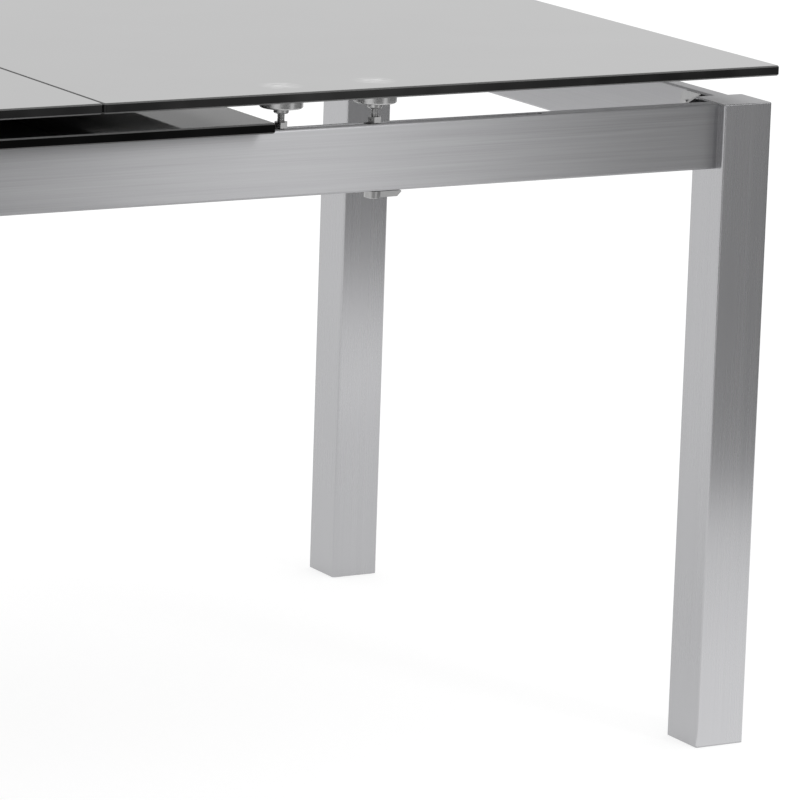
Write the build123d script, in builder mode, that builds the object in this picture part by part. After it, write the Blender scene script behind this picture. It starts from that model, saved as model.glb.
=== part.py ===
from build123d import *
import os
from math import acos, cos, pi, radians, sin, sqrt, tan

# Extendable dining table: a brushed steel frame, two glass half tops on posts that slide
# along the side aprons, and a glass centre leaf stored under the halves.
# Origin on the floor under the middle of the table, +X to the right end, +Y to the back,
# +Z up. Millimetres. Drawn closed: halves together, leaf down, clamp levers locked.

# ---- Overall sizes ----
table_length = 1606.0         # closed top, end to end
table_width = 900.0           # top, front to back
table_height = 750.0          # floor to the upper face of the glass

# ---- Glass panes ----
pane_thickness = 11.0         # both half tops and the leaf
pane_arris = 1.5              # ground bevel on every pane edge
pane_corner = 3.0             # pane corners in plan
leaf_length = 391.0
seam_gap = 1.0                # closed seam, and each seam beside the raised leaf

# ---- Legs ----
leg_size = 60.0               # square tube
leg_wall = 2.0
leg_corner = 2.5              # outer corner radius of the tube
leg_top_round = 1.5           # outer edge of the tube's upper end
leg_cap_thickness = 3.0       # plate welded in flush with the top
end_overhang = 1.0            # glass past the legs at each end
side_overhang = 10.0          # glass past the legs at front and back
glass_to_leg = 30.0           # open height between leg top and glass
glide_height = 14.0           # nylon plug in the foot of the leg
glide_proud = 0.8             # how far the plug stands below the tube
glide_clearance = 0.2

# ---- Aprons ----
apron_height = 70.0           # rectangular tube
apron_thickness = 20.0
apron_wall = 1.5
apron_corner = 2.5
apron_inset = 13.0            # apron face behind the leg face
leg_proud = 1.0               # leg top above apron top

# ---- Corner braces, their bolts and screws ----
brace_thickness = 3.0
brace_bend = 3.0              # inner bend radius
brace_ear = 38.0              # length of each ear along its apron
brace_ear_corner = 12.0       # rounded corners of the ears
brace_foot = 12.0             # lower edge above the apron's lower face
brace_head = 2.0              # upper edge below the apron's upper face
brace_to_leg = 1.0            # web clear of the leg's corner
bolt_diameter = 8.0
bolt_head_flats = 13.0
bolt_head_height = 5.5
bolt_flange = 17.0
bolt_flange_height = 1.6
bolt_reach = 22.0             # shank past the leg's corner
bolt_spacing = 26.0
bolt_clearance = 0.3          # in the web, all round
bolt_corner_cut = 15.0        # depth of the hole drilled through the leg's corner
screw_diameter = 4.0
screw_head = 8.0
screw_head_height = 2.4
screw_length = 8.0
screw_spacing = 28.0
screw_from_ear_end = 14.0

# ---- Posts that carry the half tops ----
disc_diameter = 45.0          # bonded under the glass
disc_height = 9.0
disc_edge = 1.5
hub_diameter = 16.0
hub_height = 6.0
stud_diameter = 8.0
stud_in_hub = 12.0
stud_in_runner = 20.0
stud_slot_clearance = 0.5     # each side of a stud or lock screw in its apron slot
nut_flats = 13.0
nut_height = 6.0
nut_lift = 1.0                # lock nut clear of the apron
post_spacing = 109.5
leaf_to_disc = 0.5            # stored leaf's end to the inner disc

# ---- Runners, cross bars, racks and pinion ----
runner_past_post = 18.0
runner_clearance = 0.4        # all round, inside the apron tube
runner_chamfer = 1.0
cross_bar_width = 40.0
cross_bar_height = 20.0
cross_bar_wall = 2.0
cross_bar_corner = 2.0
cross_bar_lift = 12.0         # above the apron's lower face
window_clearance = 1.0        # round the cross bar in the apron's inner wall
gear_module = 2.0
pinion_teeth = 24
pressure_angle = radians(20)
tooth_backlash = 0.2          # taken off each tooth's thickness
gear_height = 10.0
gear_lift = 8.0               # above the cross bar's lower face
rack_back = 7.5               # behind the tooth roots
rack_overrun = 10.0           # past the pinion when the table is open
pinion_boss = 18.0
axle_diameter = 8.0
axle_overrun = 8.0            # axle above the pinion
running_clearance = 0.05      # radial, for every shaft that turns or slides in a bore
pinion_end_gap = 0.3
circlip_width = 1.0
circlip_outer = 13.0
circlip_groove = 7.0

# ---- Centre beam and guide pins ----
beam_width = 40.0
beam_height = 12.0
beam_lift = 4.0               # above the apron's lower face
guide_pin_diameter = 10.0
guide_pin_y = 200.0
guide_pin_below_leaf = 3.0

# ---- Leaf carrier ----
rail_width = 50.0
rail_thickness = 6.0
rail_past_rod = 10.0
rod_inset_end = 75.5          # lift rods in from the leaf's ends
rod_inset_side = 170.0        # and from its front and back edges
lift_rod_diameter = 10.0
sleeve_diameter = 16.0
sleeve_length = 46.0
bush_length = 20.0
tie_width = 30.0
leaf_hub_height = 3.7
leaf_hub_gap = 0.3            # leaf hubs above the sleeves
leaf_rod_in_disc = 4.0
carrier_clearance = 0.5       # added to the glass thickness to give the carrier's rise
ramp_width = 6.0
ramp_lift = 7.0               # above the cross bar's lower face
ramp_low = 8.4                # thickness of the low end
ramp_offset = 20.0            # ramps either side of the rail's middle
skid_length = 20.0
skid_width = 10.0
skid_gap = 0.3

# ---- Pads and end rests ----
pad_diameter = 12.0
pad_thickness = 0.9
pad_gap = 0.1
pad_inset = 45.5              # pads in from the leaf's ends
rest_y = 150.0
rest_diameter = 10.0
rest_tenon = 6.0
rest_tenon_length = 5.0
rest_cap_diameter = 18.0
rest_cap_height = 10.7
rest_cap_cover = 6.7          # nylon above the post's end
rest_gap = 0.3                # cap below the glass

# ---- Clamp levers ----
lever_hub = 17.0
lever_hub_height = 6.7
lever_gap = 0.5               # hub below the apron
lever_length = 33.0
lever_tip_slant = 6.5
lever_width = 11.0
lever_thickness = 6.2
lever_tip_round = 1.0
lock_screw_diameter = 6.0
lock_screw_in_runner = 20.0   # depth of the runner's bore
lock_screw_end_gap = 3.0      # screw's tip below the bore's end
lock_screw_head = 12.0
lock_screw_head_height = 1.1

# ---- Levels ----
glass_under = table_height - pane_thickness
leg_top = glass_under - glass_to_leg
apron_top = leg_top - leg_proud
apron_bottom = apron_top - apron_height
apron_middle = (apron_top + apron_bottom) / 2
leaf_bottom = apron_top + pad_thickness + pad_gap
cross_bar_bottom = apron_bottom + cross_bar_lift
cross_bar_top = cross_bar_bottom + cross_bar_height
gear_bottom = cross_bar_bottom + gear_lift
gear_top = gear_bottom + gear_height
beam_bottom = apron_bottom + beam_lift
beam_top = beam_bottom + beam_height
runner_bottom = apron_bottom + apron_wall + runner_clearance
runner_top = apron_top - apron_wall - runner_clearance
rail_top = leaf_bottom - disc_height - leaf_hub_height - leaf_hub_gap
rail_bottom = rail_top - rail_thickness
ramp_bottom = cross_bar_bottom + ramp_lift
lever_top = apron_bottom - lever_gap
lever_bottom = lever_top - lever_hub_height

# ---- Plan positions ----
travel = (leaf_length + seam_gap) / 2                      # of each half top
carrier_rise = pane_thickness + carrier_clearance          # over that travel
leg_x = table_length / 2 - end_overhang - leg_size / 2
leg_y = table_width / 2 - side_overhang - leg_size / 2
leg_inner_x = leg_x - leg_size / 2
leg_inner_y = leg_y - leg_size / 2
apron_y = leg_y + leg_size / 2 - apron_inset - apron_thickness / 2
apron_x = leg_x + leg_size / 2 - apron_inset - apron_thickness / 2
apron_inner_y = apron_y - apron_thickness / 2
apron_inner_x = apron_x - apron_thickness / 2
inner_post_x = leaf_length / 2 + leaf_to_disc + disc_diameter / 2
outer_post_x = inner_post_x + post_spacing
cross_bar_x = (inner_post_x + outer_post_x) / 2
cross_bar_inner_x = cross_bar_x - cross_bar_width / 2
cross_bar_outer_x = cross_bar_x + cross_bar_width / 2
runner_width = apron_thickness - 2 * (apron_wall + runner_clearance)
runner_inner_y = apron_y - runner_width / 2
lift_rod_x = leaf_length / 2 - rod_inset_end
rail_y = table_width / 2 - rod_inset_side
pad_x = leaf_length / 2 - pad_inset
pitch_radius = gear_module * pinion_teeth / 2
ramp_end_x = travel / 2 + skid_length / 2                  # where the slope starts and stops
ramp_slope = carrier_rise / travel

ends = {"left": -1, "right": 1}
sides = {"front": -1, "back": 1}
both = (-1, 1)

os.makedirs("parts", exist_ok=True)


# ---- Helpers ----
def save(piece, name):
    """Label a finished piece and write it to its own file."""
    piece.part.label = name
    export_step(piece.part, f"parts/{name}.step")


def bar(x, y, z, mode=Mode.ADD):
    """Square-cornered bar between two limits on each axis, given in either order."""
    spans = [sorted(pair) for pair in (x, y, z)]
    with Locations(tuple((low + high) / 2 for low, high in spans)):
        Box(*(high - low for low, high in spans), mode=mode)


def rod(x, y, z, diameter, mode=Mode.ADD):
    """Upright round bar, or a hole, over the span z."""
    low, high = sorted(z)
    with Locations((x, y, (low + high) / 2)):
        Cylinder(diameter / 2, high - low, mode=mode)


def tube_section(x, y, width, height, corner, wall):
    """Hollow rectangular section about x, y in the open sketch."""
    with Locations((x, y)):
        RectangleRounded(width, height, corner)
        inner_corner = max(corner - wall, wall / 4)
        RectangleRounded(width - 2 * wall, height - 2 * wall, inner_corner, mode=Mode.SUBTRACT)


def slab(points, y, width):
    """Bar along Y about the plane y, from its outline in X and Z."""
    with BuildSketch(Plane.XZ.offset(-y)) as outline:
        with BuildLine():
            Polyline(*points, close=True)
        make_face()
    extrude(outline.sketch, amount=width / 2, both=True)


def post_places(end, spread=both):
    """Plan positions of one half top's four posts."""
    return [(end * x, side * apron_y) for x in (inner_post_x, outer_post_x) for side in spread]


def rod_places():
    """Plan positions of the four lift rods."""
    return [(end * lift_rod_x, side * rail_y) for end in both for side in both]


# ---- Frame: legs ----
def corner_plane(end, side, z):
    """Plane across a leg's inner corner, facing into the leg."""
    inner_corner = (end * leg_inner_x, side * leg_inner_y, z)
    return Plane(origin=inner_corner, x_dir=(0, 0, 1), z_dir=(end, side, 0))


def bolt_levels():
    brace_middle = (apron_bottom + brace_foot + apron_top - brace_head) / 2
    return [brace_middle + step * bolt_spacing / 2 for step in both]


def make_leg(end, side):
    """Square tube leg, with bolt holes through its inner corner."""
    with BuildPart() as leg:
        with BuildSketch(Plane.XY.offset(glide_proud)):
            tube_section(end * leg_x, side * leg_y, leg_size, leg_size, leg_corner, leg_wall)
        extrude(amount=leg_top - glide_proud)
        rim = leg.faces().sort_by(Axis.Z)[-1].outer_wire().edges()
        fillet(rim, radius=min(leg_top_round, leg_wall - 0.2))
        for z in bolt_levels():
            with BuildSketch(corner_plane(end, side, z)):
                Circle(bolt_diameter / 2 + running_clearance)
            extrude(amount=bolt_corner_cut, both=True, mode=Mode.SUBTRACT)
    return leg


def make_leg_caps():
    """Plates that close the leg tubes, flush with their tops."""
    inside = leg_size - 2 * leg_wall
    with BuildPart() as caps:
        with BuildSketch(Plane.XY.offset(leg_top - leg_cap_thickness)):
            with GridLocations(2 * leg_x, 2 * leg_y, 2, 2):
                RectangleRounded(inside, inside, max(leg_corner - leg_wall, leg_wall / 4))
        extrude(amount=leg_cap_thickness)
    return caps


def make_foot_glides():
    """Nylon plugs in the feet, standing just below the tubes."""
    inside = leg_size - 2 * (leg_wall + glide_clearance)
    with BuildPart() as glides:
        with BuildSketch():
            with GridLocations(2 * leg_x, 2 * leg_y, 2, 2):
                RectangleRounded(inside, inside, leg_corner)
        extrude(amount=glide_height)
        chamfer(glides.faces().group_by(Axis.Z)[0].edges(), length=glide_proud / 2)
    return glides


# ---- Frame: aprons ----
def screw_levels():
    brace_middle = (apron_bottom + brace_foot + apron_top - brace_head) / 2
    return [brace_middle + step * screw_spacing / 2 for step in both]


def brace_path():
    """Centre line of the right back brace in plan: ear, web across the corner, ear."""
    ear_y = apron_inner_y - brace_thickness / 2
    ear_x = apron_inner_x - brace_thickness / 2
    web_offset = sqrt(2) * (brace_to_leg + brace_thickness / 2)
    web_sum = leg_inner_x + leg_inner_y - web_offset       # x + y all along the web
    first_bend = (web_sum - ear_y, ear_y)
    second_bend = (ear_x, web_sum - ear_x)
    side_ear = (first_bend[0] - brace_ear, ear_y)
    end_ear = (ear_x, second_bend[1] - brace_ear)
    return side_ear, first_bend, second_bend, end_ear


def screw_plan():
    """Where the screws stand along the side apron (x) and the end apron (y)."""
    side_ear, _, _, end_ear = brace_path()
    return side_ear[0] + screw_from_ear_end, end_ear[1] + screw_from_ear_end


def cut_screw_holes(plane, places):
    """Screw holes through a brace ear or an apron wall, which meet on the plane."""
    with BuildSketch(plane) as holes:
        with Locations(*places):
            Circle(screw_diameter / 2)
    extrude(holes.sketch, amount=apron_wall + brace_thickness, both=True, mode=Mode.SUBTRACT)


def make_side_apron(side):
    """Front or back apron: the slide tube, with slots for studs, screws and cross bars."""
    y = side * apron_y
    slot_width = stud_diameter + 2 * stud_slot_clearance
    lock_slot_width = lock_screw_diameter + 2 * stud_slot_clearance
    with BuildPart() as apron:
        with BuildSketch(Plane.YZ):
            tube_section(y, apron_middle, apron_thickness, apron_height, apron_corner, apron_wall)
        extrude(amount=leg_inner_x, both=True)
        with BuildSketch(Plane.XY.offset(apron_top)):
            for end in both:
                with Locations((end * (inner_post_x + outer_post_x + travel) / 2, y)):
                    SlotCenterToCenter(outer_post_x + travel - inner_post_x, slot_width)
        extrude(amount=-2 * apron_wall, mode=Mode.SUBTRACT)
        with BuildSketch(Plane.XY.offset(apron_bottom)):
            for end in both:
                with Locations((end * (outer_post_x + travel / 2), y)):
                    SlotCenterToCenter(travel, lock_slot_width)
        extrude(amount=2 * apron_wall, mode=Mode.SUBTRACT)
        inner_wall = (side * (apron_inner_y - apron_wall), side * (apron_inner_y + 2 * apron_wall))
        for end in both:
            near = end * (cross_bar_inner_x - window_clearance)
            far = end * (cross_bar_outer_x + travel + window_clearance)
            low = cross_bar_bottom - window_clearance
            high = cross_bar_top + window_clearance
            bar((near, far), inner_wall, (low, high), mode=Mode.SUBTRACT)
        screw_x, _ = screw_plan()
        places = [(end * screw_x, z) for end in both for z in screw_levels()]
        cut_screw_holes(Plane.XZ.offset(-side * apron_inner_y), places)
    return apron


def make_end_apron(end):
    """Left or right apron: a plain tube, with holes for the end rests."""
    x = end * apron_x
    with BuildPart() as apron:
        with BuildSketch(Plane.XZ):
            tube_section(x, apron_middle, apron_thickness, apron_height, apron_corner, apron_wall)
        extrude(amount=leg_inner_y, both=True)
        for side in both:
            rod(x, side * rest_y, (apron_top - 2 * apron_wall, apron_top), rest_tenon, Mode.SUBTRACT)
        _, screw_y = screw_plan()
        places = [(side * screw_y, z) for side in both for z in screw_levels()]
        cut_screw_holes(Plane.YZ.offset(end * apron_inner_x), places)
    return apron


# ---- Frame: corner braces and fasteners ----
def make_brace(end, side):
    """Bent plate across the inner corner of a leg, with rounded ears on both aprons."""
    side_ear, first_bend, second_bend, end_ear = brace_path()
    path = [(end * x, side * y) for x, y in (side_ear, first_bend, second_bend, end_ear)]
    low = apron_bottom + brace_foot
    high = apron_top - brace_head
    with BuildPart() as brace:
        with BuildSketch(Plane.XY.offset(low)):
            with BuildLine():
                FilletPolyline(*path, radius=brace_bend + brace_thickness / 2)
            trace(line_width=brace_thickness)
        extrude(amount=high - low)
        side_corners = brace.edges().filter_by(Axis.Y).group_by(Axis.X)[0 if end > 0 else -1]
        end_corners = brace.edges().filter_by(Axis.X).group_by(Axis.Y)[0 if side > 0 else -1]
        fillet(side_corners + end_corners, radius=brace_ear_corner)
        for z in bolt_levels():
            with BuildSketch(corner_plane(end, side, z)):
                Circle(bolt_diameter / 2 + bolt_clearance)
            extrude(amount=-2 * (brace_to_leg + brace_thickness), mode=Mode.SUBTRACT)
        screw_x, screw_y = screw_plan()
        side_places = [(end * screw_x, z) for z in screw_levels()]
        cut_screw_holes(Plane.XZ.offset(-side * apron_inner_y), side_places)
        end_places = [(side * screw_y, z) for z in screw_levels()]
        cut_screw_holes(Plane.YZ.offset(end * apron_inner_x), end_places)
    return brace


def make_leg_bolts():
    """Flanged hexagon bolts through the brace webs into the legs."""
    flange_face = brace_to_leg + brace_thickness
    head_face = flange_face + bolt_flange_height
    with BuildPart() as bolts:
        for end in both:
            for side in both:
                for z in bolt_levels():
                    plane = corner_plane(end, side, z)
                    with BuildSketch(plane.offset(-flange_face)):
                        Circle(bolt_diameter / 2)
                    extrude(amount=flange_face + bolt_reach)
                    with BuildSketch(plane.offset(-flange_face)):
                        Circle(bolt_flange / 2)
                    extrude(amount=-bolt_flange_height)
                    with BuildSketch(plane.offset(-head_face)):
                        RegularPolygon(bolt_head_flats / 2, 6, major_radius=False)
                    extrude(amount=-bolt_head_height)
    return bolts


def add_screws(head_face, places, inward):
    """Screws at places: heads on one side of a plane, shanks on the other."""
    for diameter, length in ((screw_diameter, screw_length), (screw_head, -screw_head_height)):
        with BuildSketch(head_face) as circles:
            with Locations(*places):
                Circle(diameter / 2)
        extrude(circles.sketch, amount=inward * length)


def make_brace_screws():
    """Pan-head screws through the brace ears into the aprons."""
    screw_x, screw_y = screw_plan()
    ear_y = apron_inner_y - brace_thickness
    ear_x = apron_inner_x - brace_thickness
    with BuildPart() as screws:
        for side in both:
            places = [(end * screw_x, z) for end in both for z in screw_levels()]
            add_screws(Plane.XZ.offset(-side * ear_y), places, -side)
        for end in both:
            places = [(side * screw_y, z) for side in both for z in screw_levels()]
            add_screws(Plane.YZ.offset(end * ear_x), places, end)
    return screws


# ---- Frame: centre beam, guide pins, pinion axle ----
def make_centre_beam():
    """Flat bar between the side aprons that carries the pinion and the guide pins."""
    half_width = beam_width / 2
    with BuildPart() as beam:
        bar((-half_width, half_width), (-apron_inner_y, apron_inner_y), (beam_bottom, beam_top))
        for side in both:
            rod(0, side * guide_pin_y, (beam_bottom, beam_top), guide_pin_diameter, Mode.SUBTRACT)
        rod(0, 0, (beam_bottom, beam_top), axle_diameter, Mode.SUBTRACT)
    return beam


def make_guide_pins():
    """Upright pins that guide the leaf carrier."""
    top = leaf_bottom - guide_pin_below_leaf
    with BuildPart() as pins:
        for side in both:
            rod(0, side * guide_pin_y, (beam_bottom, top), guide_pin_diameter)
        chamfer(pins.faces().group_by(Axis.Z)[-1].edges(), length=guide_pin_diameter / 10)
    return pins


def make_pinion_axle():
    """Axle fixed in the beam, grooved for a circlip above the pinion."""
    groove_bottom = gear_top + pinion_end_gap
    with BuildPart() as axle:
        rod(0, 0, (beam_bottom, gear_top + axle_overrun), axle_diameter)
        with Locations((0, 0, groove_bottom + circlip_width / 2)):
            Cylinder(axle_diameter, circlip_width, mode=Mode.SUBTRACT)
        rod(0, 0, (groove_bottom, groove_bottom + circlip_width), circlip_groove)
    return axle


def make_pinion_circlip():
    """Open retaining ring in the axle's groove."""
    groove_bottom = gear_top + pinion_end_gap
    level = (groove_bottom, groove_bottom + circlip_width)
    with BuildPart() as circlip:
        rod(0, 0, level, circlip_outer)
        rod(0, 0, level, circlip_groove, Mode.SUBTRACT)
        mouth = circlip_groove / 4
        bar((-mouth, mouth), (-circlip_outer, 0), level, mode=Mode.SUBTRACT)
    return circlip


def make_leaf_pads():
    """Thin pads on the side aprons, under the stored leaf."""
    with BuildPart() as pads:
        with BuildSketch(Plane.XY.offset(apron_top)):
            with GridLocations(2 * pad_x, 2 * apron_y, 2, 2):
                Circle(pad_diameter / 2)
        extrude(amount=pad_thickness)
    return pads


def make_end_rest_posts():
    """Posts on the end aprons that hold up the outer ends of the half tops."""
    top = glass_under - rest_gap - rest_cap_cover
    with BuildPart() as posts:
        for end in both:
            for side in both:
                rod(end * apron_x, side * rest_y, (apron_top, top), rest_diameter)
                tenon = (apron_top - rest_tenon_length, apron_top)
                rod(end * apron_x, side * rest_y, tenon, rest_tenon)
    return posts


def make_end_rest_caps():
    """Domed nylon caps that the glass slides over."""
    top = glass_under - rest_gap
    with BuildPart() as caps:
        with BuildSketch(Plane.XY.offset(top)):
            with GridLocations(2 * apron_x, 2 * rest_y, 2, 2):
                Circle(rest_cap_diameter / 2)
        extrude(amount=-rest_cap_height)
        fillet(caps.faces().group_by(Axis.Z)[-1].edges(), radius=rest_cap_height / 4)
        for end in both:
            for side in both:
                socket = (top - rest_cap_height, top - rest_cap_cover)
                rod(end * apron_x, side * rest_y, socket, rest_diameter, Mode.SUBTRACT)
    return caps


# ---- Pinion ----
def tooth_half_angle(radius):
    """Half the angle that an involute tooth takes up at a radius."""
    base_radius = pitch_radius * cos(pressure_angle)
    tooth_thickness = pi * gear_module / 2 - tooth_backlash
    at_pitch = tooth_thickness / (2 * pitch_radius)
    angle = acos(min(1, base_radius / radius))
    return at_pitch + (tan(pressure_angle) - pressure_angle) - (tan(angle) - angle)


def make_pinion():
    """Spur gear that ties the two half tops together, with a boss resting on the beam."""
    root_radius = pitch_radius - 1.25 * gear_module
    tip_radius = pitch_radius + gear_module
    steps = 5
    radii = [root_radius + (tip_radius - root_radius) * step / steps for step in range(steps + 1)]
    outline = []
    for tooth in range(pinion_teeth):
        middle = 2 * pi * tooth / pinion_teeth
        flank = [(r, middle - tooth_half_angle(r)) for r in radii]
        flank += [(r, middle + tooth_half_angle(r)) for r in reversed(radii)]
        outline += [(r * cos(a), r * sin(a)) for r, a in flank]
    whole = (beam_top + pinion_end_gap, gear_top)
    with BuildPart() as pinion:
        with BuildSketch(Plane.XY.offset(gear_bottom)):
            with BuildLine():
                Polyline(*outline, close=True)
            make_face()
        extrude(amount=gear_height)
        rod(0, 0, whole, pinion_boss)
        rod(0, 0, whole, axle_diameter + 2 * running_clearance, Mode.SUBTRACT)
    return pinion


# ---- Half tops ----
def make_pane(x_low, x_high, z_low):
    """Toughened glass pane with a bevelled edge all round."""
    with BuildPart() as pane:
        with BuildSketch(Plane.XY.offset(z_low)):
            with Locations(((x_low + x_high) / 2, 0)):
                RectangleRounded(x_high - x_low, table_width, pane_corner)
        extrude(amount=pane_thickness)
        chamfer(pane.faces().filter_by(Axis.Z).edges(), length=pane_arris)
    return pane


def make_adapters(places, top, hub, socket_diameter, socket_depth):
    """Discs bonded under a pane, each with a hub and a socket for a stud or rod."""
    with BuildPart() as adapters:
        with BuildSketch(Plane.XY.offset(top)):
            with Locations(*places):
                Circle(disc_diameter / 2)
        extrude(amount=-disc_height)
        fillet(adapters.faces().group_by(Axis.Z)[0].edges(), radius=disc_edge)
        with BuildSketch(Plane.XY.offset(top - disc_height)):
            with Locations(*places):
                Circle(hub_diameter / 2)
        extrude(amount=-hub)
        chamfer(adapters.faces().group_by(Axis.Z)[0].edges(), length=hub_diameter / 16)
        hub_bottom = top - disc_height - hub
        for x, y in places:
            rod(x, y, (hub_bottom, hub_bottom + socket_depth), socket_diameter, Mode.SUBTRACT)
    return adapters


def make_studs(end):
    """Threaded studs from the runners up into the hubs."""
    top = glass_under - disc_height - hub_height + stud_in_hub
    with BuildPart() as studs:
        for x, y in post_places(end):
            rod(x, y, (runner_top - stud_in_runner, top), stud_diameter)
    return studs


def make_lock_nuts(end):
    """Hexagon nuts on the studs, just above the aprons."""
    bottom = apron_top + nut_lift
    with BuildPart() as nuts:
        with BuildSketch(Plane.XY.offset(bottom)):
            with Locations(*post_places(end)):
                RegularPolygon(nut_flats / 2, 6, major_radius=False)
                Circle(stud_diameter / 2, mode=Mode.SUBTRACT)
        extrude(amount=nut_height)
    return nuts


def make_runner(end, side):
    """Nylon block that slides in the apron tube and carries two posts."""
    y = side * apron_y
    near = end * (inner_post_x - runner_past_post)
    far = end * (outer_post_x + runner_past_post)
    half_width = runner_width / 2
    with BuildPart() as runner:
        bar((near, far), (y - half_width, y + half_width), (runner_bottom, runner_top))
        chamfer(runner.edges().filter_by(Axis.X), length=runner_chamfer)
        for x, y in post_places(end, (side,)):
            rod(x, y, (runner_top - stud_in_runner, runner_top), stud_diameter, Mode.SUBTRACT)
        bore = lock_screw_diameter + 2 * running_clearance
        depth = (runner_bottom, runner_bottom + lock_screw_in_runner)
        rod(end * outer_post_x, y, depth, bore, Mode.SUBTRACT)
    return runner


def make_cross_bar(end):
    """Tube between the front and back runners of one half."""
    middle = (cross_bar_bottom + cross_bar_top) / 2
    with BuildPart() as cross_bar:
        with BuildSketch(Plane.XZ):
            tube_section(end * cross_bar_x, middle, cross_bar_width, cross_bar_height,
                         cross_bar_corner, cross_bar_wall)
        extrude(amount=runner_inner_y, both=True)
    return cross_bar


def make_rack(end):
    """Toothed bar from the cross bar past the pinion, a tooth space at the middle."""
    pitch = pi * gear_module
    half_tooth = (pitch / 2 - tooth_backlash) / 2
    addendum, dedendum = gear_module, 1.25 * gear_module
    tip_half = half_tooth - addendum * tan(pressure_angle)
    root_half = half_tooth + dedendum * tan(pressure_angle)
    last_out = int((cross_bar_inner_x - root_half) / pitch - 0.5)
    last_in = int((travel + rack_overrun - root_half) / pitch - 0.5)
    outline = []
    for tooth in range(-last_in - 1, last_out + 1):
        x = (tooth + 0.5) * pitch
        outline += [(x - root_half, -dedendum), (x - tip_half, addendum)]
        outline += [(x + tip_half, addendum), (x + root_half, -dedendum)]
    outline = [(-travel - rack_overrun, -dedendum)] + outline + [(cross_bar_inner_x, -dedendum)]
    outline += [(cross_bar_inner_x, -dedendum - rack_back)]
    outline += [(-travel - rack_overrun, -dedendum - rack_back)]
    with BuildPart() as rack:
        with BuildSketch(Plane.XY.offset(gear_bottom)):
            with BuildLine():
                Polyline(*[(end * x, end * (y - pitch_radius)) for x, y in outline], close=True)
            make_face()
        extrude(amount=gear_height)
    return rack


# ---- Ramps and skids that raise the leaf carrier as the halves part ----
def ramp_level(x):
    """Upper face of a closed right-hand ramp at x, within its slope."""
    return ramp_bottom + ramp_low + (ramp_end_x - x) * ramp_slope


def ramp_y(end):
    """Distance from the middle of the table: right ramps inside the rails' middles."""
    return rail_y - end * ramp_offset


def make_ramps(end):
    """Sloped bars welded to one cross bar, under the leaf carrier."""
    outline = [
        (cross_bar_inner_x, ramp_bottom),
        (cross_bar_inner_x, ramp_level(ramp_end_x)),
        (ramp_end_x, ramp_level(ramp_end_x)),
        (-ramp_end_x, ramp_level(-ramp_end_x)),
        (-ramp_end_x, ramp_bottom),
    ]
    with BuildPart() as ramps:
        for side in both:
            slab([(end * x, z) for x, z in outline], side * ramp_y(end), ramp_width)
    return ramps


def make_carrier_skids():
    """Nylon feet of the leaf carrier, cut to the slope of the ramps."""
    near = travel / 2 - skid_length / 2
    far = travel / 2 + skid_length / 2
    outline = [
        (near, rail_bottom),
        (near, ramp_level(near) + skid_gap),
        (far, ramp_level(far) + skid_gap),
        (far, rail_bottom),
    ]
    with BuildPart() as skids:
        for end in both:
            for side in both:
                slab([(end * x, z) for x, z in outline], side * ramp_y(end), skid_width)
    return skids


# ---- Leaf carrier ----
def make_carrier_rail(side):
    """Flat bar along the table with two lift sleeves through it."""
    half_length = lift_rod_x + rail_past_rod
    y = side * rail_y
    span = (y - rail_width / 2, y + rail_width / 2)
    with BuildPart() as rail:
        bar((-half_length, half_length), span, (rail_bottom, rail_top))
        for end in both:
            rod(end * lift_rod_x, y, (rail_bottom, rail_top), sleeve_diameter, Mode.SUBTRACT)
    return rail


def make_carrier_tie():
    """Flat bar between the two rails, with the guide bushes through it."""
    half_span = rail_y - rail_width / 2
    with BuildPart() as tie:
        bar((-tie_width / 2, tie_width / 2), (-half_span, half_span), (rail_bottom, rail_top))
        for side in both:
            rod(0, side * guide_pin_y, (rail_bottom, rail_top), sleeve_diameter, Mode.SUBTRACT)
    return tie


def make_bushes(places, length, bore):
    """Plain bushes hanging from the top of the carrier."""
    with BuildPart() as bushes:
        with BuildSketch(Plane.XY.offset(rail_top)):
            with Locations(*places):
                Circle(sleeve_diameter / 2)
                Circle(bore / 2 + running_clearance, mode=Mode.SUBTRACT)
        extrude(amount=-length)
    return bushes


def make_lift_rods():
    """Rods under the leaf that slide in the carrier's sleeves."""
    with BuildPart() as rods:
        for x, y in rod_places():
            top = leaf_bottom - leaf_rod_in_disc
            rod(x, y, (rail_top - sleeve_length, top), lift_rod_diameter)
        chamfer(rods.faces().group_by(Axis.Z)[0].edges(), length=lift_rod_diameter / 10)
    return rods


# ---- Clamp levers ----
def make_lock_lever(end, side):
    """Flat handle on a round hub, its tip slanting back below; locked pointing outwards."""
    x, y = end * outer_post_x, side * apron_y
    handle_top = lever_bottom + lever_thickness
    slant_start = lever_length - lever_tip_slant
    handle = [(0, lever_bottom), (slant_start, lever_bottom), (lever_length, handle_top), (0, handle_top)]
    with BuildPart() as lever:
        slab([(x + end * reach, z) for reach, z in handle], y, lever_width)
        across = lever.edges().filter_by(Axis.Y)
        tip = across.group_by(Axis.X)[-1 if end > 0 else 0]
        fillet(tip, radius=lever_tip_round)
        rod(x, y, (lever_bottom, lever_top), lever_hub)
        rod(x, y, (lever_bottom, lever_top), lock_screw_diameter, Mode.SUBTRACT)
    return lever


def make_lock_screw(end, side):
    """Screw fixed in the lever, up through the apron's slot into the runner."""
    x, y = end * outer_post_x, side * apron_y
    top = runner_bottom + lock_screw_in_runner - lock_screw_end_gap
    with BuildPart() as screw:
        rod(x, y, (lever_bottom - lock_screw_head_height, lever_bottom), lock_screw_head)
        fillet(screw.faces().group_by(Axis.Z)[0].edges(), radius=lock_screw_head_height / 2)
        rod(x, y, (lever_bottom, top), lock_screw_diameter)
    return screw


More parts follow.
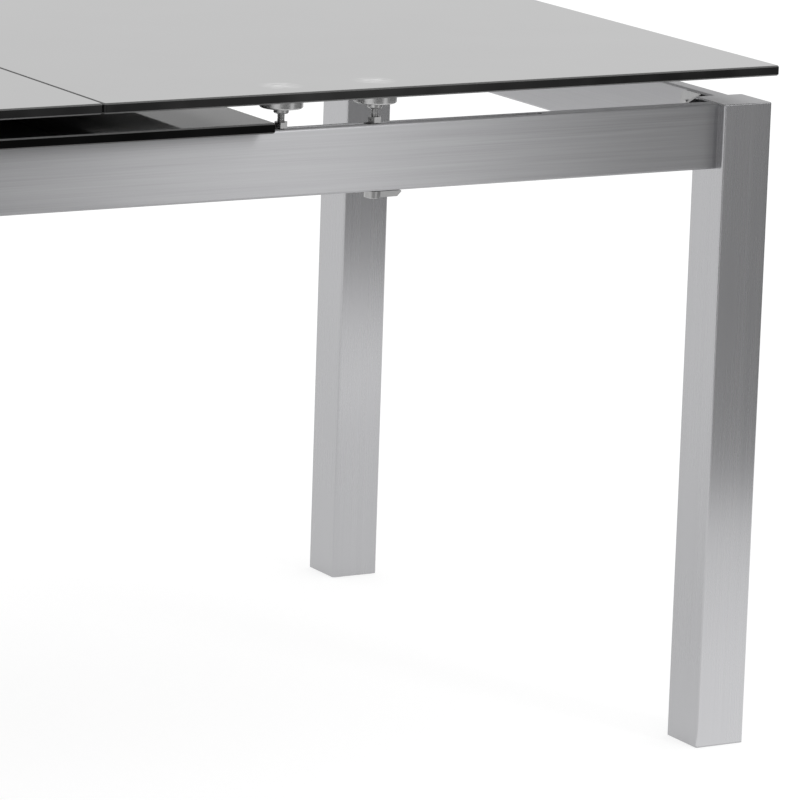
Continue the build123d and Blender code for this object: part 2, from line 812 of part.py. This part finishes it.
# ---- Build everything ----
save(make_leg_caps(), "leg_caps")
save(make_foot_glides(), "foot_glides")
save(make_leg_bolts(), "leg_bolts")
save(make_brace_screws(), "brace_screws")
save(make_centre_beam(), "centre_beam")
save(make_guide_pins(), "guide_pins")
save(make_pinion_axle(), "pinion_axle")
save(make_pinion_circlip(), "pinion_circlip")
save(make_leaf_pads(), "leaf_pads")
save(make_end_rest_posts(), "end_rest_posts")
save(make_end_rest_caps(), "end_rest_caps")
save(make_pinion(), "pinion_gear")

for side_name, side in sides.items():
    save(make_side_apron(side), f"{side_name}_apron")
    save(make_carrier_rail(side), f"carrier_rail_{side_name}")
    for end_name, end in ends.items():
        corner = f"{side_name}_{end_name}"
        save(make_leg(end, side), f"leg_{corner}")
        save(make_brace(end, side), f"corner_brace_{corner}")
        save(make_runner(end, side), f"runner_{corner}")
        save(make_lock_lever(end, side), f"lock_lever_{corner}")
        save(make_lock_screw(end, side), f"lock_screw_{corner}")

for end_name, end in ends.items():
    pane_ends = sorted((end * seam_gap / 2, end * table_length / 2))
    save(make_end_apron(end), f"{end_name}_apron")
    save(make_pane(*pane_ends, glass_under), f"{end_name}_glass")
    adapters = make_adapters(post_places(end), glass_under, hub_height, stud_diameter, stud_in_hub)
    save(adapters, f"{end_name}_adapters")
    save(make_studs(end), f"{end_name}_studs")
    save(make_lock_nuts(end), f"{end_name}_lock_nuts")
    save(make_cross_bar(end), f"{end_name}_cross_bar")
    save(make_rack(end), f"{end_name}_rack")
    save(make_ramps(end), f"{end_name}_ramps")

save(make_carrier_tie(), "carrier_tie")
save(make_carrier_skids(), "carrier_skids")
save(make_bushes(rod_places(), sleeve_length, lift_rod_diameter), "lift_sleeves")
guide_places = [(0, side * guide_pin_y) for side in both]
save(make_bushes(guide_places, bush_length, guide_pin_diameter), "guide_bushes")
save(make_pane(-leaf_length / 2, leaf_length / 2, leaf_bottom), "leaf_glass")
leaf_socket = leaf_hub_height + disc_height - leaf_rod_in_disc
leaf_adapters = make_adapters(
    rod_places(), leaf_bottom, leaf_hub_height, lift_rod_diameter, leaf_socket)
save(leaf_adapters, "leaf_adapters")
save(make_lift_rods(), "lift_rods")
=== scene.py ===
import math

import bpy
from mathutils import Matrix, Vector


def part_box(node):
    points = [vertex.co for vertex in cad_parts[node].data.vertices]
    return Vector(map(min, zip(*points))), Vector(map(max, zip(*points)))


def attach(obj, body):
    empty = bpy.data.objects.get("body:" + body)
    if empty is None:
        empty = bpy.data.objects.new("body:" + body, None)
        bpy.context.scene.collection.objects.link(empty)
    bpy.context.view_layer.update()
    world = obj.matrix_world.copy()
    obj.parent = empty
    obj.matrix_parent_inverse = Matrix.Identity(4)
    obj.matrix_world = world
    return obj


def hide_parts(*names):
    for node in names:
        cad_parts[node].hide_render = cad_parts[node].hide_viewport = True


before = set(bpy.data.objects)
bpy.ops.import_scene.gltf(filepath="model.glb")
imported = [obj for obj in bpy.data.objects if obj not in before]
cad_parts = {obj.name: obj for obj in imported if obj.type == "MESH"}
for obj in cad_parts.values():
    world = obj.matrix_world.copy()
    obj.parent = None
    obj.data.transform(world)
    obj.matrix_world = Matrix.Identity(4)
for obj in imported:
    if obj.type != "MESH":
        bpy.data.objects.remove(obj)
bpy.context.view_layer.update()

MM = 0.001
STUD_DIAMETER = 8 * MM

# ------------------------------------------------------------------ node tools


class Finish:
    """One material under construction, with short calls for the nodes that the finishes share."""

    def __init__(self, name, **shader_constants):
        self.material = bpy.data.materials.new(name)
        self.material.use_nodes = True
        self.tree = self.material.node_tree
        self.shader = self.tree.nodes["Principled BSDF"]
        for socket, value in shader_constants.items():
            self.shader.inputs[socket.replace("_", " ")].default_value = value
        self.coordinates = self.add("ShaderNodeTexCoord").outputs["Object"]

    def add(self, kind, **settings):
        node = self.tree.nodes.new(kind)
        for key, value in settings.items():
            setattr(node, key, value)
        return node

    def feed(self, source, socket):
        if isinstance(source, bpy.types.NodeSocket):
            self.tree.links.new(source, socket)
        else:
            socket.default_value = source

    def math(self, operation, *values):
        node = self.add("ShaderNodeMath", operation=operation)
        for i, value in enumerate(values):
            self.feed(value, node.inputs[i])
        return node.outputs[0]

    def split(self, vector):
        node = self.add("ShaderNodeSeparateXYZ")
        self.feed(vector, node.inputs[0])
        return node.outputs

    def join(self, x, y, z):
        node = self.add("ShaderNodeCombineXYZ")
        for i, value in enumerate((x, y, z)):
            self.feed(value, node.inputs[i])
        return node.outputs[0]

    def noise(self, per_metre, detail=2.0, roughness=0.5):
        """Noise whose grain is given in cycles per metre along x, y and z."""
        place = self.add("ShaderNodeMapping", vector_type="POINT")
        self.feed(self.coordinates, place.inputs["Vector"])
        place.inputs["Scale"].default_value = per_metre
        node = self.add("ShaderNodeTexNoise")
        node.inputs["Scale"].default_value = 1.0
        node.inputs["Detail"].default_value = detail
        node.inputs["Roughness"].default_value = roughness
        self.tree.links.new(place.outputs[0], node.inputs["Vector"])
        return node.outputs["Fac"]

    def spread(self, value, low, high, to_low=0.0, to_high=1.0, smooth=False):
        node = self.add("ShaderNodeMapRange", clamp=True)
        node.interpolation_type = "SMOOTHSTEP" if smooth else "LINEAR"
        self.feed(value, node.inputs["Value"])
        for socket, number in zip(("From Min", "From Max", "To Min", "To Max"), (low, high, to_low, to_high)):
            node.inputs[socket].default_value = number
        return node.outputs[0]

    def shade(self, amount, dark, light):
        """A colour between two greys or colours."""
        node = self.add("ShaderNodeMix", data_type="RGBA")
        self.feed(amount, node.inputs["Factor"])
        for socket, colour in (("A", dark), ("B", light)):
            target = [i for i in node.inputs if i.identifier == socket + "_Color"][0]
            if isinstance(colour, (int, float)):
                colour = (colour, colour, colour)
            self.feed(colour if isinstance(colour, bpy.types.NodeSocket) else (*colour, 1.0), target)
        return [o for o in node.outputs if o.identifier == "Result_Color"][0]

    def blend(self, amount, low, high):
        node = self.add("ShaderNodeMix", data_type="FLOAT")
        self.feed(amount, node.inputs["Factor"])
        self.feed(low, node.inputs["A"])
        self.feed(high, node.inputs["B"])
        return node.outputs["Result"]

    def bump(self, height, depth, strength=1.0):
        node = self.add("ShaderNodeBump")
        node.inputs["Distance"].default_value = depth
        node.inputs["Strength"].default_value = strength
        self.feed(height, node.inputs["Height"])
        self.tree.links.new(node.outputs[0], self.shader.inputs["Normal"])

    def tangent(self, axis):
        node = self.add("ShaderNodeTangent", direction_type="RADIAL", axis=axis)
        self.tree.links.new(node.outputs[0], self.shader.inputs["Tangent"])

    def end(self, colour, roughness):
        self.feed(colour, self.shader.inputs["Base Color"])
        self.feed(roughness, self.shader.inputs["Roughness"])
        return self.material


AXES = "XYZ"


def grain(along, across, lengthwise):
    """Scales for a noise drawn out along one axis: cycles per metre across and lengthwise."""
    return tuple(lengthwise if axis == along else across for axis in AXES)


def even(per_metre):
    """Scales for a noise that is the same along every axis."""
    return (per_metre, per_metre, per_metre)


# -------------------------------------------------------------------- finishes


STEEL_TINT = (1.0, 1.0, 1.025)
HAIRS, STROKES, BANDS = (1370, 3.3), (620, 6.5), (90, 2.0)     # cycles per metre, across and along the brushing
HAIR_SHARE, STROKE_SHARE, BAND_SHARE = 0.30, 0.40, 0.30
STREAK_RANGE = (0.34, 0.66)
TONE_SWING = 0.06                                             # of the tone, either way, at a contrast of 1
CLOUD_WEAR = 0.012                                            # of roughness, either way


def brushed_steel(name, along, smooth, rough, drawn, tone=0.44, contrast=1.0, reach=1.0):
    """Stainless tube brushed along one axis: fine scratches, longer faint strokes and bands,
    and a soft lobe across them."""
    f = Finish(name, Metallic=1.0, Anisotropic=drawn)
    f.tangent(along)
    hairs = f.noise(grain(along, HAIRS[0], HAIRS[1] / reach), roughness=0.6)
    strokes = f.noise(grain(along, STROKES[0], STROKES[1] / reach))
    bands = f.noise(grain(along, BANDS[0], BANDS[1] / reach))
    clouds = f.noise(even(6))
    streak = f.math("ADD", f.math("MULTIPLY", hairs, HAIR_SHARE), f.math("MULTIPLY", strokes, STROKE_SHARE))
    streak = f.math("ADD", streak, f.math("MULTIPLY", bands, BAND_SHARE))
    lift = TONE_SWING * contrast
    dark, light = (tuple(tone * level * tint for tint in STEEL_TINT) for level in (1 - lift, 1 + lift))
    colour = f.shade(f.spread(streak, *STREAK_RANGE), dark, light)
    brushing = f.spread(streak, *STREAK_RANGE, smooth, rough)
    wear = f.math("ADD", brushing, f.spread(clouds, 0.3, 0.7, -CLOUD_WEAR, CLOUD_WEAR))
    return f.end(colour, wear)


def satin_metal(name, tone, low, high):
    """Turned or pressed metal with a fine even tooth."""
    f = Finish(name, Metallic=1.0)
    turned = f.noise(even(900), detail=3.0)
    clouds = f.noise(even(40))
    mix = f.math("ADD", f.math("MULTIPLY", turned, 0.5), f.math("MULTIPLY", clouds, 0.5))
    colour = f.shade(f.spread(mix, 0.35, 0.65), tone * 0.88, tone * 1.08)
    f.bump(turned, 0.00002, 0.3)
    return f.end(colour, f.spread(mix, 0.35, 0.65, low, high))


def painted_metal(name, tone):
    """Matt paint with a slight orange peel and a little dust."""
    f = Finish(name, Metallic=0.0, Specular_IOR_Level=0.5)
    peel = f.noise(even(650))
    dust = f.noise((30, 30, 90), detail=3.0)
    colour = f.shade(f.spread(dust, 0.35, 0.75), tone, tone * 1.9)
    f.bump(peel, 0.00012, 0.5)
    return f.end(colour, f.spread(peel, 0.3, 0.7, 0.38, 0.52))


def nylon(name, tone):
    """Moulded nylon: a fine spark-eroded surface over faint flow marks."""
    f = Finish(name, Metallic=0.0, Specular_IOR_Level=0.4, Subsurface_Weight=0.0)
    mould = f.noise(even(1400))
    flow = f.noise((60, 60, 160))
    colour = f.shade(f.spread(flow, 0.35, 0.65), tone * 0.9, tone * 1.12)
    f.bump(mould, 0.00003, 0.4)
    return f.end(colour, f.spread(mould, 0.3, 0.7, 0.42, 0.55))


FACE_SLOPE = (0.85, 0.97)          # how level a surface is where the arris turns into the flat face
SIDE_SLOPE = (0.25, 0.5)           # and where it turns into the side
PAINTED_HIGHLIGHT_FADE = (6 * MM, 26 * MM)      # from a post, where the painted highlight over its bonded disc starts and stops to fade


def plate_glass(name, face, edge, arris, posts, painted_disc_highlight, gloss, edge_gloss):
    """Lacquered plate glass: its flat faces carry the lacquer's colour, its sides look dark into the glass,
    and the ground arris between them catches the light. Over each bonded disc a painted highlight lightens the
    face, streaked like the disc's turned metal."""
    f = Finish(name, Metallic=0.0, IOR=1.6)
    up = f.math("ABSOLUTE", f.split(f.add("ShaderNodeTexCoord").outputs["Normal"])[2])
    flat = f.spread(up, *FACE_SLOPE)
    side = f.spread(up, *SIDE_SLOPE, 1.0, 0.0)
    x, y, z = f.split(f.coordinates)
    smear = f.noise(even(9))
    lacquer_and_painted_highlight = f.shade(f.spread(smear, 0.3, 0.7), face * 0.985, face * 1.015)
    if posts:
        near = None
        for px, py in posts:
            off_x = f.math("SUBTRACT", f.math("ABSOLUTE", x), px)
            off_y = f.math("SUBTRACT", f.math("ABSOLUTE", y), py)
            away = f.join(off_x, off_y, 0.0)
            length = f.add("ShaderNodeVectorMath", operation="LENGTH")
            f.feed(away, length.inputs[0])
            near = length.outputs["Value"] if near is None else f.math("MINIMUM", near, length.outputs["Value"])
        # painted highlight: a lighter, streaked spot in the face colour over each bonded disc, standing for the
        # disc's metal shining through the glass
        painted_highlight_spot = f.spread(near, *PAINTED_HIGHLIGHT_FADE, 1.0, 0.0, smooth=True)
        highlight_streaks = f.noise((70, 330, 100))
        painted_highlight_spot = f.math("MULTIPLY", painted_highlight_spot, f.spread(highlight_streaks, 0.38, 0.66))
        lacquer_and_painted_highlight = f.shade(painted_highlight_spot, lacquer_and_painted_highlight, painted_disc_highlight)
    haze = f.noise(even(300))
    face_shader = f.shader
    f.feed(lacquer_and_painted_highlight, face_shader.inputs["Base Color"])
    f.feed(f.spread(haze, 0.3, 0.7, gloss * 0.8, gloss * 1.25), face_shader.inputs["Roughness"])
    rim = f.add("ShaderNodeBsdfPrincipled")
    rim.inputs["Specular IOR Level"].default_value = edge_gloss
    grind = f.noise((500, 500, 2500))
    ground = f.shade(f.spread(grind, 0.3, 0.7), arris * 0.8, arris * 1.2)
    deep = f.shade(f.spread(f.noise(even(14)), 0.35, 0.65), edge * 0.6, edge * 1.5)
    f.feed(f.shade(side, ground, deep), rim.inputs["Base Color"])
    f.feed(f.blend(side, 0.35, f.spread(grind, 0.3, 0.7, 0.12, 0.2)), rim.inputs["Roughness"])
    both = f.add("ShaderNodeMixShader")
    f.feed(flat, both.inputs["Fac"])
    f.tree.links.new(rim.outputs[0], both.inputs[1])
    f.tree.links.new(face_shader.outputs[0], both.inputs[2])
    f.tree.links.new(both.outputs[0], f.tree.nodes["Material Output"].inputs["Surface"])
    return f.material


# ------------------------------------------------------------------ the finishes of each piece

leg_steel = brushed_steel("leg_steel", "Z", 0.262, 0.282, 0.84, tone=0.45, contrast=0.45, reach=4.0)
cap_steel = brushed_steel("cap_steel", "X", 0.30, 0.38, 0.6, contrast=0.7)
long_apron_steel = brushed_steel("long_apron_steel", "X", 0.35, 0.43, 0.93, tone=0.368, contrast=1.7)
end_apron_steel = brushed_steel("end_apron_steel", "Y", 0.31, 0.37, 0.84)
brace_steel = satin_metal("brace_steel", 0.44, 0.30, 0.40)
adapter_metal = satin_metal("adapter_metal", 0.48, 0.24, 0.36)
lever_metal = satin_metal("lever_metal", 0.42, 0.30, 0.40)
bright_steel = satin_metal("bright_steel", 0.42, 0.22, 0.32)
mechanism_paint = painted_metal("mechanism_paint", 0.018)
glide_nylon = nylon("glide_nylon", 0.035)
runner_nylon = nylon("runner_nylon", 0.55)


def post_centres(end):
    """The two post places in x and the one in y, from the studs' box, which is a stud radius wider."""
    low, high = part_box(end + "_studs")
    radius = STUD_DIAMETER / 2
    xs = (min(abs(low.x), abs(high.x)) + radius, max(abs(low.x), abs(high.x)) - radius)
    return [(round(x, 5), round(high.y - radius, 5)) for x in xs]


PAINTED_HIGHLIGHT_SHIFT = (5 * MM, -12 * MM)    # of the painted highlight over a post, from the post
painted_highlight_places = [(x + PAINTED_HIGHLIGHT_SHIFT[0], y + PAINTED_HIGHLIGHT_SHIFT[1]) for x, y in post_centres("right")]
# the top glass carries a painted highlight over each bonded disc; the leaf has none
top_glass = plate_glass(
    "top_glass", face=0.395, edge=0.012, arris=0.12, posts=painted_highlight_places, painted_disc_highlight=0.85, gloss=0.035, edge_gloss=0.18)
leaf_glass = plate_glass(
    "leaf_glass", face=0.004, edge=0.002, arris=0.10, posts=None, painted_disc_highlight=0.0, gloss=0.02, edge_gloss=0.04)

FINISH_OF_WORD = [                 # the first word that a node's name holds decides
    ("leaf_glass", leaf_glass), ("glass", top_glass),
    ("leg_caps", cap_steel), ("foot_glides", glide_nylon), ("leg_bolts", bright_steel), ("leg_", leg_steel),
    ("front_apron", long_apron_steel), ("back_apron", long_apron_steel),
    ("left_apron", end_apron_steel), ("right_apron", end_apron_steel),
    ("brace_screws", bright_steel), ("corner_brace", brace_steel), ("leaf_pads", glide_nylon),
    ("adapters", adapter_metal), ("studs", bright_steel), ("lock_nuts", bright_steel),
    ("lock_lever", lever_metal), ("lock_screw", bright_steel), ("guide_pins", bright_steel),
    ("pinion_axle", bright_steel), ("circlip", bright_steel), ("lift_rods", bright_steel),
    ("end_rest_caps", glide_nylon), ("skids", runner_nylon), ("sleeves", runner_nylon),
    ("bushes", runner_nylon), ("runner", runner_nylon),
]


def finish_for(node):
    for word, material in FINISH_OF_WORD:
        if word in node:
            return material
    return mechanism_paint


for node_name, node_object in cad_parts.items():
    node_object.data.materials.clear()
    node_object.data.materials.append(finish_for(node_name))

# -------------------------------------------------------------- threaded studs

THREAD_PITCH = 1.25 * MM
THREAD_DEPTH = 0.62 * MM
TURN_STEPS = 20
CORE_SIDES = 24
RIDGE_CENTRE = 0.3                 # of the thread's depth above its root
RIDGE_RADIUS = 0.7                 # of the thread's depth


def thread_tree():
    """Points become studs: a core with a helical thread round it."""
    tree = bpy.data.node_groups.new("threaded_stud", "GeometryNodeTree")
    port = tree.interface.new_socket
    port(name="Geometry", in_out="INPUT", socket_type="NodeSocketGeometry")
    for label in ("Diameter", "Pitch", "Thread depth", "Length"):
        port(name=label, in_out="INPUT", socket_type="NodeSocketFloat")
    port(name="Steps per turn", in_out="INPUT", socket_type="NodeSocketInt")
    port(name="Finish", in_out="INPUT", socket_type="NodeSocketMaterial")
    port(name="Geometry", in_out="OUTPUT", socket_type="NodeSocketGeometry")

    def add(kind, **settings):
        node = tree.nodes.new(kind)
        for key, value in settings.items():
            setattr(node, key, value)
        return node

    def figure(operation, a, b):
        node = add("ShaderNodeMath", operation=operation)
        for socket, value in zip(node.inputs, (a, b)):
            if isinstance(value, bpy.types.NodeSocket):
                tree.links.new(value, socket)
            else:
                socket.default_value = value
        return node.outputs[0]

    given = add("NodeGroupInput").outputs
    link = tree.links.new
    crest = figure("MULTIPLY", given["Diameter"], 0.5)
    root = figure("SUBTRACT", crest, given["Thread depth"])
    ridge_middle = figure("ADD", root, figure("MULTIPLY", given["Thread depth"], RIDGE_CENTRE))
    helix = add("GeometryNodeCurveSpiral")
    link(given["Steps per turn"], helix.inputs["Resolution"])
    threaded = figure("SUBTRACT", given["Length"], given["Pitch"])
    link(figure("DIVIDE", threaded, given["Pitch"]), helix.inputs["Rotations"])
    link(ridge_middle, helix.inputs["Start Radius"])
    link(ridge_middle, helix.inputs["End Radius"])
    link(threaded, helix.inputs["Height"])
    ridge = add("GeometryNodeCurvePrimitiveCircle")
    ridge.inputs["Resolution"].default_value = 3
    link(figure("MULTIPLY", given["Thread depth"], RIDGE_RADIUS), ridge.inputs["Radius"])
    thread = add("GeometryNodeCurveToMesh")
    thread.inputs["Fill Caps"].default_value = True
    link(helix.outputs[0], thread.inputs["Curve"])
    link(ridge.outputs[0], thread.inputs["Profile Curve"])
    lift_thread = add("GeometryNodeTransform")
    lift_thread_by = add("ShaderNodeCombineXYZ")
    link(figure("MULTIPLY", given["Pitch"], 0.5), lift_thread_by.inputs["Z"])
    link(thread.outputs[0], lift_thread.inputs["Geometry"])
    link(lift_thread_by.outputs[0], lift_thread.inputs["Translation"])
    core = add("GeometryNodeMeshCylinder")
    core.inputs["Vertices"].default_value = CORE_SIDES
    link(root, core.inputs["Radius"])
    link(given["Length"], core.inputs["Depth"])
    lift_core = add("GeometryNodeTransform")
    lift_core_by = add("ShaderNodeCombineXYZ")
    link(figure("MULTIPLY", given["Length"], 0.5), lift_core_by.inputs["Z"])
    link(core.outputs["Mesh"], lift_core.inputs["Geometry"])
    link(lift_core_by.outputs[0], lift_core.inputs["Translation"])
    stud = add("GeometryNodeJoinGeometry")
    link(lift_thread.outputs[0], stud.inputs[0])
    link(lift_core.outputs[0], stud.inputs[0])
    placed = add("GeometryNodeInstanceOnPoints")
    link(given["Geometry"], placed.inputs["Points"])
    link(stud.outputs[0], placed.inputs["Instance"])
    real = add("GeometryNodeRealizeInstances")
    link(placed.outputs[0], real.inputs[0])
    coated = add("GeometryNodeSetMaterial")
    link(real.outputs[0], coated.inputs["Geometry"])
    link(given["Finish"], coated.inputs["Material"])
    link(coated.outputs[0], add("NodeGroupOutput").inputs[0])
    return tree


def make_threaded_studs(end, tree):
    """The four studs of one half top, with their threads, in the place of the plain ones."""
    low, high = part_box(end + "_studs")
    radius = STUD_DIAMETER / 2
    feet = [(x, y, low.z) for x in (low.x + radius, high.x - radius) for y in (low.y + radius, high.y - radius)]
    mesh = bpy.data.meshes.new(f"threaded_studs_{end}")
    mesh.from_pydata(feet, [], [])
    studs = bpy.data.objects.new(f"threaded_studs_{end}", mesh)
    bpy.context.scene.collection.objects.link(studs)
    grown = studs.modifiers.new("thread", "NODES")
    grown.node_group = tree
    sizes = {
        "Diameter": STUD_DIAMETER, "Pitch": THREAD_PITCH, "Thread depth": THREAD_DEPTH,
        "Length": high.z - low.z, "Steps per turn": TURN_STEPS, "Finish": bright_steel}
    for socket in tree.interface.items_tree:
        if socket.in_out == "INPUT" and socket.name in sizes:
            grown[socket.identifier] = sizes[socket.name]
    made = bpy.data.meshes.new_from_object(studs.evaluated_get(bpy.context.evaluated_depsgraph_get()))
    studs.modifiers.clear()
    studs.data = made
    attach(studs, end + "_top")
    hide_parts(end + "_studs")


thread = thread_tree()
for end in ("right", "left"):
    make_threaded_studs(end, thread)

# ---------------------------------------------------------------------- studio


def plain(name, tone, glow):
    """A matt studio surface with a glow of its own."""
    material = bpy.data.materials.new(name)
    material.use_nodes = True
    shader = material.node_tree.nodes["Principled BSDF"]
    shader.inputs["Base Color"].default_value = (tone, tone, tone, 1)
    shader.inputs["Roughness"].default_value = 0.9
    shader.inputs["Specular IOR Level"].default_value = 0.0
    shader.inputs["Emission Color"].default_value = (1, 1, 1, 1)
    shader.inputs["Emission Strength"].default_value = glow
    return material


def sheet_object(name, corners, material):
    """A flat studio sheet, which isn't part of the table."""
    mesh = bpy.data.meshes.new(name)
    mesh.from_pydata(corners, [], [tuple(range(len(corners)))])
    thing = bpy.data.objects.new(name, mesh)
    bpy.context.scene.collection.objects.link(thing)
    mesh.materials.append(material)
    return thing


FLOOR_HALF = 40.0
floor_corners = [(FLOOR_HALF * x, FLOOR_HALF * y, 0) for x, y in ((-1, -1), (1, -1), (1, 1), (-1, 1))]
sheet_object("floor", floor_corners, plain("pale_floor", 0.38, glow=0.76))


WALL_HEIGHT = 30.0
STUDIO_GLOW = 0.8


def studio_wall(name, across, along):
    """A pale wall at the floor's edge, seen directly but left out of the lighting and the reflections."""
    a, b = (Vector((FLOOR_HALF * (across - k * along), FLOOR_HALF * (along + k * across), 0)) for k in (-1, 1))
    rise = Vector((0, 0, WALL_HEIGHT))
    wall = sheet_object(name, [a, b, b + rise, a + rise], pale_wall)
    wall.visible_glossy = wall.visible_diffuse = wall.visible_shadow = wall.visible_transmission = False
    wall.visible_volume_scatter = False


pale_wall = plain("pale_wall", 0.0, glow=1.0)
studio_wall("wall_right", 1, 0)
studio_wall("wall_left", -1, 0)
studio_wall("wall_back", 0, 1)
studio_wall("wall_front", 0, -1)

FLAG_FADE = 0.36                   # width of the fade at a cloth's top and ends


def fading_cloth(name, glow, cover_at):
    """A surface of even glow that fades to nothing where its cover does."""
    f = Finish(name, Specular_IOR_Level=0.0, Emission_Strength=glow)
    f.feed((0, 0, 0, 1), f.shader.inputs["Base Color"])
    f.feed((1, 1, 1, 1), f.shader.inputs["Emission Color"])
    both = f.add("ShaderNodeMixShader")
    f.feed(cover_at(f, *f.split(f.coordinates)), both.inputs[0])
    f.tree.links.new(f.add("ShaderNodeBsdfTransparent").outputs[0], both.inputs[1])
    f.tree.links.new(f.shader.outputs[0], both.inputs[2])
    f.tree.links.new(both.outputs[0], f.tree.nodes["Material Output"].inputs["Surface"])
    return f.material


def reflected_only(sheet):
    """Hides a studio sheet from everything but reflections."""
    sheet.visible_camera = sheet.visible_diffuse = sheet.visible_shadow = sheet.visible_transmission = False
    sheet.visible_volume_scatter = False


def studio_flag(name, start, run, height, shade):
    """A dark cloth standing on the floor, from start along run, whose top and ends fade out.
    Only reflections see it."""
    start, run = Vector((*start, 0)), Vector((*run, 0))
    way, fade = run.normalized(), FLAG_FADE / 2
    first, last = way.dot(start), way.dot(start + run)

    def cover(f, x, y, z):
        along = f.math("ADD", f.math("MULTIPLY", x, way.x), f.math("MULTIPLY", y, way.y))
        ends = f.math("MULTIPLY", f.spread(along, first - fade, first + fade, smooth=True),
                      f.spread(along, last - fade, last + fade, 1.0, 0.0, smooth=True))
        return f.math("MULTIPLY", ends, f.spread(z, height - fade, height + fade, 1.0, 0.0, smooth=True))

    a, b, rise = start - way * fade, start + run + way * fade, Vector((0, 0, height + fade))
    reflected_only(sheet_object(name, [a, b, b + rise, a + rise], fading_cloth(name, shade, cover)))


GLOW_FULL = 0.3                    # width of the stretch at full glow


def floor_glow(name, xs, ys, lift, glow):
    """A brighter stretch of floor, strongest at the second of ys. Only reflections see it."""
    corners = [(xs[0], ys[0], lift), (xs[1], ys[0], lift), (xs[1], ys[1], lift), (xs[0], ys[1], lift)]
    reflected_only(sheet_object(
        name, corners, fading_cloth(name, glow, lambda f, x, y, z: f.spread(y, ys[0], ys[1] - GLOW_FULL))))


studio_flag("right_flag", (1.17, -1.59), (3.2, 1.84), 1.7, 0.27)
studio_flag("left_flag", (0.76, -1.83), (-3.0, -1.73), 1.4, 0.24)
floor_glow("foot_glow", (0.72, 1.9), (-1.32, -0.44), 2 * MM, 1.28)


def soft_light(name, place, aim, width, height, power):
    """A rectangular softbox that the camera doesn't see."""
    data = bpy.data.lights.new(name, "AREA")
    data.shape, data.size, data.size_y, data.energy = "RECTANGLE", width, height, power
    light = bpy.data.objects.new(name, data)
    light.location = place
    light.rotation_euler = (Vector(aim) - Vector(place)).to_track_quat("-Z", "Y").to_euler()
    light.visible_camera = False
    bpy.context.scene.collection.objects.link(light)
    return light


soft_light("key_softbox", (1.645, -2.9, 2.1), (0.2, -0.4, 0.7), 0.46, 1.6, 13.5)

world = bpy.data.worlds.new("studio")
world.use_nodes = True
world.node_tree.nodes["Background"].inputs["Color"].default_value = (1, 1, 1, 1)
world.node_tree.nodes["Background"].inputs["Strength"].default_value = STUDIO_GLOW
bpy.context.scene.world = world
bpy.context.scene.view_settings.view_transform = "Standard"

# ---------------------------------------------------------------------- camera

CAMERA_PLACE = Vector((-2.4484, -5.3126, 1.6317))
CAMERA_AIM = Vector((0.4876, 0.8472, -0.2109)).normalized()
CAMERA_ROLL = math.radians(1.896)
LENS, SENSOR_WIDTH = 249.2, 36.0   # millimetres
SIGHT = 200.0
level_right = CAMERA_AIM.cross(Vector((0, 0, 1))).normalized()
level_up = level_right.cross(CAMERA_AIM)
right = level_right * math.cos(CAMERA_ROLL) + level_up * math.sin(CAMERA_ROLL)
up = right.cross(CAMERA_AIM)
camera = bpy.data.objects.new("camera", bpy.data.cameras.new("camera"))
camera.data.sensor_width = SENSOR_WIDTH
camera.data.lens = LENS
camera.data.clip_end = SIGHT
camera.matrix_world = Matrix.Translation(CAMERA_PLACE) @ Matrix((right, up, -CAMERA_AIM)).transposed().to_4x4()
bpy.context.scene.collection.objects.link(camera)
bpy.context.scene.camera = camera
